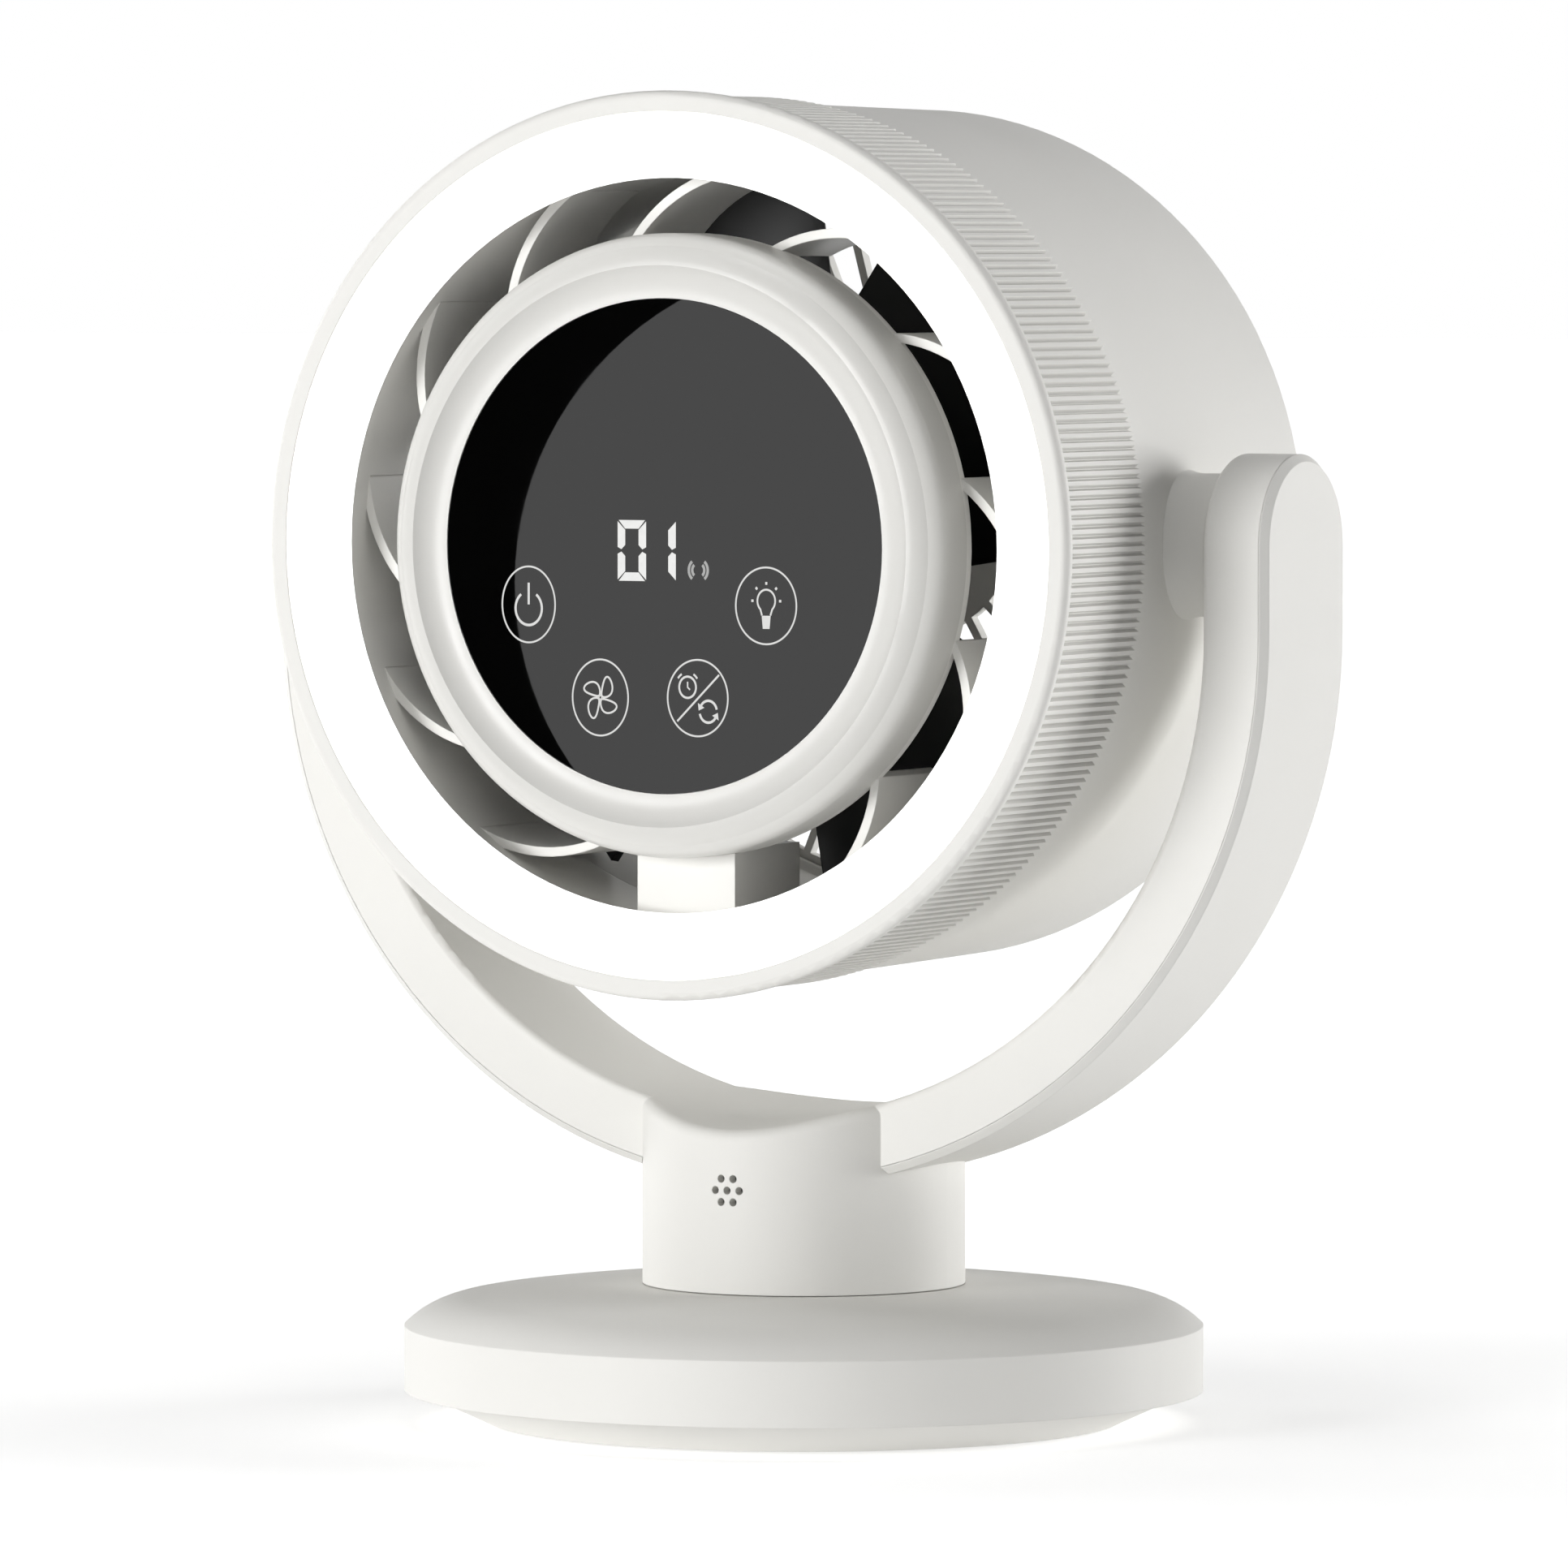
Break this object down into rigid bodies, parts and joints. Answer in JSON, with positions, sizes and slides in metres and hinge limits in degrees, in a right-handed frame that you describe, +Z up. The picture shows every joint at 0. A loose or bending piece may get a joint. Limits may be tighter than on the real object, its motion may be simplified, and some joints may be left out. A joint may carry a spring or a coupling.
{
  "type": "air circulator fan",
  "caption": "Desktop air circulator fan: round ribbed head with a light ring and dark touch display on a swivelling fork over a domed round base.",
  "frame": {"origin": "middle of the base on the surface it stands on", "axes": "+Z up; the air blows towards -Y; +X is the viewer's right in front of the fan, along the tilt axis"},
  "size_m": [0.2, 0.144, 0.239],
  "materials": {
    "shell_white": "fine matt moulded",
    "vane_white": "satin moulded",
    "hub_grey": "satin moulded",
    "lamp_white": "lit diffuser",
    "window_dark": "gloss, tinted",
    "impeller_black": "satin moulded",
    "steel": "plated",
    "nylon": "natural",
    "rubber": "matt",
    "board_green": "solder mask",
    "black_plastic": "moulded",
    "motor_metal": "satin",
    "copper": "enamelled wire"
  },
  "bodies": {
    "base": {"base_cover": "shell_white", "base_plate": "shell_white", "foot_pads": "rubber", "base_screws": "steel", "ballast_plate": "steel", "battery_pack": "black_plastic", "charge_board": "board_green", "board_screws": "steel", "usb_socket": "steel", "fixed_gear": "nylon", "gear_clip": "steel"},
    "yoke": {"yoke_frame": "shell_white", "yoke_cover_left": "shell_white", "yoke_cover_right": "shell_white", "neck_plate": "nylon", "neck_screws": "steel", "swivel_bush": "nylon", "swing_motor": "motor_metal", "swing_motor_screws": "steel", "buzzer": "black_plastic", "pivot_pin_left": "steel", "pivot_pin_right": "steel", "pivot_screws": "steel", "pivot_clips": "steel", "friction_washers": "nylon"},
    "pinion": {"swing_pinion": "nylon", "swing_spindle": "motor_metal"},
    "head": {"front_housing": "shell_white", "ribbed_band": "shell_white", "light_ring": "lamp_white", "led_board": "board_green", "rear_housing": "shell_white", "head_screws": "steel", "rear_grille": "shell_white", "duct_sleeve": "vane_white", "vane_grille": "vane_white", "hub_bezel": "hub_grey", "display_window": "window_dark", "display_board": "board_green", "digit_module": "black_plastic", "touch_springs": "copper", "motor_bearings": "motor_metal", "motor_board": "board_green", "stator": "steel", "stator_coils": "copper"},
    "rotor": {"impeller": "impeller_black", "impeller_nut": "steel", "rotor_can": "motor_metal", "magnet_ring": "black_plastic", "motor_shaft": "steel"}
  },
  "joints": [
    {"name": "yoke_swivel", "type": "hinge", "parent": "base", "child": "yoke", "pos_m": [0, 0, 0.026], "axis": [0, 0, 1], "range_deg": [-45, 45]},
    {"name": "pinion_spin", "type": "hinge", "parent": "yoke", "child": "pinion", "pos_m": [0, 0.016, 0.033], "axis": [0, 0, 1], "range_deg": [-70, 70]},
    {"name": "head_tilt", "type": "hinge", "parent": "yoke", "child": "head", "pos_m": [0, 0, 0.159], "axis": [-1, 0, 0], "range_deg": [-30, 90]},
    {"name": "impeller_spin", "type": "hinge", "parent": "head", "child": "rotor", "pos_m": [0, 0, 0.159], "axis": [0, -1, 0], "continuous": true}
  ],
  "couplings": [
    {"joint": "pinion_spin", "follows": "yoke_swivel", "ratio": 1.5}
  ]
}
